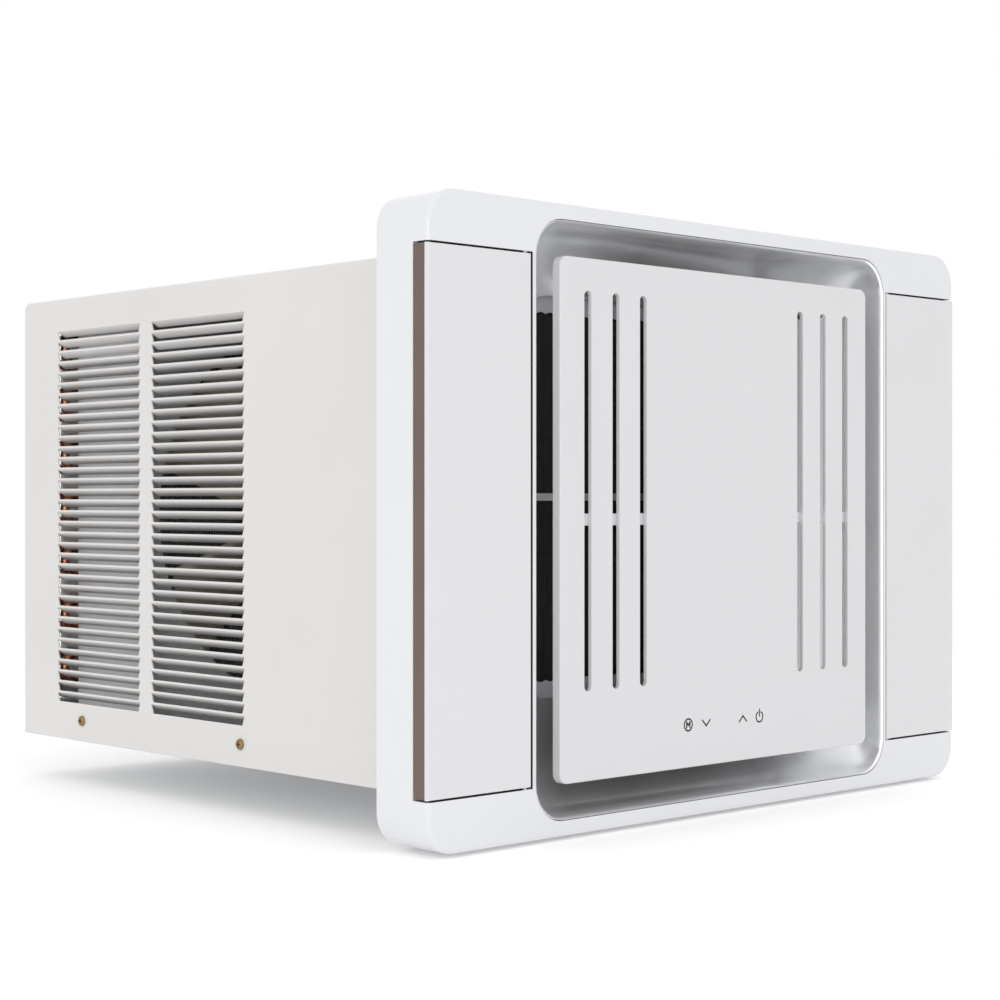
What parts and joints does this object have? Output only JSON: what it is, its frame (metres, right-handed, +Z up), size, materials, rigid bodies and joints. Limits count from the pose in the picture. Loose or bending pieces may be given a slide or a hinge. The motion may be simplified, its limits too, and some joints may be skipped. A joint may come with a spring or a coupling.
{
  "type": "window air conditioner",
  "caption": "Window air conditioner with louvred steel cabinet, moulded front frame, floating intake panel in a silver bowl and two side outlet doors.",
  "frame": {"origin": "middle of the base pan's underside, on the sill plane", "axes": "+X to the right seen from the front, +Y from front to back, +Z up"},
  "size_m": [0.56, 0.528, 0.416],
  "materials": {
    "cabinet_paint": "satin, fine powder coat",
    "screw_zinc": "yellow zinc",
    "galvanised": "galvanised sheet",
    "black_plastic": "matte",
    "wire_paint": "satin",
    "frame_plastic": "gloss",
    "rubber": "matte",
    "bowl_silver": "silver gloss lacquer",
    "panel_plastic": "gloss",
    "door_plastic": "gloss",
    "trim_metal": "satin champagne",
    "grey_plastic": "matte",
    "circuit_board": "satin",
    "filter_plastic": "matte",
    "filter_net": "fine net",
    "motor_steel": "satin",
    "coil_fin": "bare fin stock",
    "copper": "copper",
    "duct_foam": "moulded foam",
    "fan_plastic": "cream, matte",
    "vane_plastic": "satin",
    "shaft_steel": "ground",
    "compressor_paint": "semi gloss black"
  },
  "bodies": {
    "cabinet": {"accumulator": "compressor_paint", "air_duct": "duct_foam", "base_pan": "galvanised", "bulkhead": "galvanised", "cabinet_screws": "screw_zinc", "cabinet_shell": "cabinet_paint", "compressor": "compressor_paint", "compressor_grommets": "rubber", "compressor_studs": "screw_zinc", "condenser_bends": "copper", "condenser_end_plates": "galvanised", "condenser_fins": "coil_fin", "condenser_tubes": "copper", "control_board": "circuit_board", "control_box": "galvanised", "cord_grommet": "rubber", "discharge_line": "copper", "door_motors": "motor_steel", "drain_spout": "black_plastic", "drip_tray": "grey_plastic", "duct_cover": "duct_foam", "evaporator_bends": "copper", "evaporator_end_plates": "galvanised", "evaporator_fins": "coil_fin", "evaporator_tubes": "copper", "fan_motor": "motor_steel", "fan_shroud": "vane_plastic", "frame_back": "frame_plastic", "frame_screws": "screw_zinc", "front_frame": "frame_plastic", "left_vane_carrier": "grey_plastic", "liquid_line": "copper", "motor_saddle": "galvanised", "rear_guard": "wire_paint", "recess_bowl": "bowl_silver", "right_vane_carrier": "grey_plastic", "suction_line": "copper", "terminal_cover": "black_plastic", "vane_motors": "motor_steel"},
    "rotor": {"motor_shaft": "shaft_steel", "blower_wheel": "fan_plastic", "condenser_fan": "fan_plastic"},
    "panel": {"front_panel": "panel_plastic", "display_housing": "grey_plastic", "display_board": "circuit_board"},
    "filter": {"filter_frame": "filter_plastic", "filter_mesh": "filter_net"},
    "left_door": {"left_door": "door_plastic", "left_door_trim": "trim_metal"},
    "left_vane_1": {"left_vane_1": "vane_plastic"},
    "left_vane_2": {"left_vane_2": "vane_plastic"},
    "left_vane_3": {"left_vane_3": "vane_plastic"},
    "left_vane_link": {"left_vane_link": "grey_plastic"},
    "right_door": {"right_door": "door_plastic", "right_door_trim": "trim_metal"},
    "right_vane_1": {"right_vane_1": "vane_plastic"},
    "right_vane_2": {"right_vane_2": "vane_plastic"},
    "right_vane_3": {"right_vane_3": "vane_plastic"},
    "right_vane_link": {"right_vane_link": "grey_plastic"}
  },
  "joints": [
    {"name": "rotor_spin", "type": "hinge", "parent": "cabinet", "child": "rotor", "pos_m": [-0.063, 0, 0.178], "axis": [0, 1, 0], "continuous": true},
    {"name": "panel_pull", "type": "slide", "parent": "cabinet", "child": "panel", "axis": [0, -1, 0], "range_m": [0, 0.06]},
    {"name": "filter_lift", "type": "slide", "parent": "cabinet", "child": "filter", "axis": [0, 0, 1], "range_m": [0, 0.3]},
    {"name": "left_door_hinge", "type": "hinge", "parent": "cabinet", "child": "left_door", "pos_m": [-0.195, -0.2855, 0.176], "axis": [0, 0, 1], "range_deg": [0, 60]},
    {"name": "left_vane_1_turn", "type": "hinge", "parent": "cabinet", "child": "left_vane_1", "pos_m": [-0.2115, -0.2612, 0.176], "axis": [0, 0, 1], "range_deg": [-30, 30]},
    {"name": "left_vane_2_turn", "type": "hinge", "parent": "cabinet", "child": "left_vane_2", "pos_m": [-0.2335, -0.2612, 0.176], "axis": [0, 0, 1], "range_deg": [-30, 30]},
    {"name": "left_vane_3_turn", "type": "hinge", "parent": "cabinet", "child": "left_vane_3", "pos_m": [-0.2555, -0.2612, 0.176], "axis": [0, 0, 1], "range_deg": [-30, 30]},
    {"name": "left_link_turn", "type": "hinge", "parent": "left_vane_1", "child": "left_vane_link", "pos_m": [-0.2115, -0.2552, 0.176], "axis": [0, 0, 1], "range_deg": [-30, 30]},
    {"name": "right_door_hinge", "type": "hinge", "parent": "cabinet", "child": "right_door", "pos_m": [0.195, -0.2855, 0.176], "axis": [0, 0, -1], "range_deg": [0, 60]},
    {"name": "right_vane_1_turn", "type": "hinge", "parent": "cabinet", "child": "right_vane_1", "pos_m": [0.2115, -0.2612, 0.176], "axis": [0, 0, 1], "range_deg": [-30, 30]},
    {"name": "right_vane_2_turn", "type": "hinge", "parent": "cabinet", "child": "right_vane_2", "pos_m": [0.2335, -0.2612, 0.176], "axis": [0, 0, 1], "range_deg": [-30, 30]},
    {"name": "right_vane_3_turn", "type": "hinge", "parent": "cabinet", "child": "right_vane_3", "pos_m": [0.2555, -0.2612, 0.176], "axis": [0, 0, 1], "range_deg": [-30, 30]},
    {"name": "right_link_turn", "type": "hinge", "parent": "right_vane_1", "child": "right_vane_link", "pos_m": [0.2115, -0.2552, 0.176], "axis": [0, 0, 1], "range_deg": [-30, 30]}
  ],
  "couplings": [
    {"joint": "left_vane_2_turn", "follows": "left_vane_1_turn", "ratio": 1},
    {"joint": "left_vane_3_turn", "follows": "left_vane_1_turn", "ratio": 1},
    {"joint": "left_link_turn", "follows": "left_vane_1_turn", "ratio": -1},
    {"joint": "right_vane_2_turn", "follows": "right_vane_1_turn", "ratio": 1},
    {"joint": "right_vane_3_turn", "follows": "right_vane_1_turn", "ratio": 1},
    {"joint": "right_link_turn", "follows": "right_vane_1_turn", "ratio": -1}
  ]
}
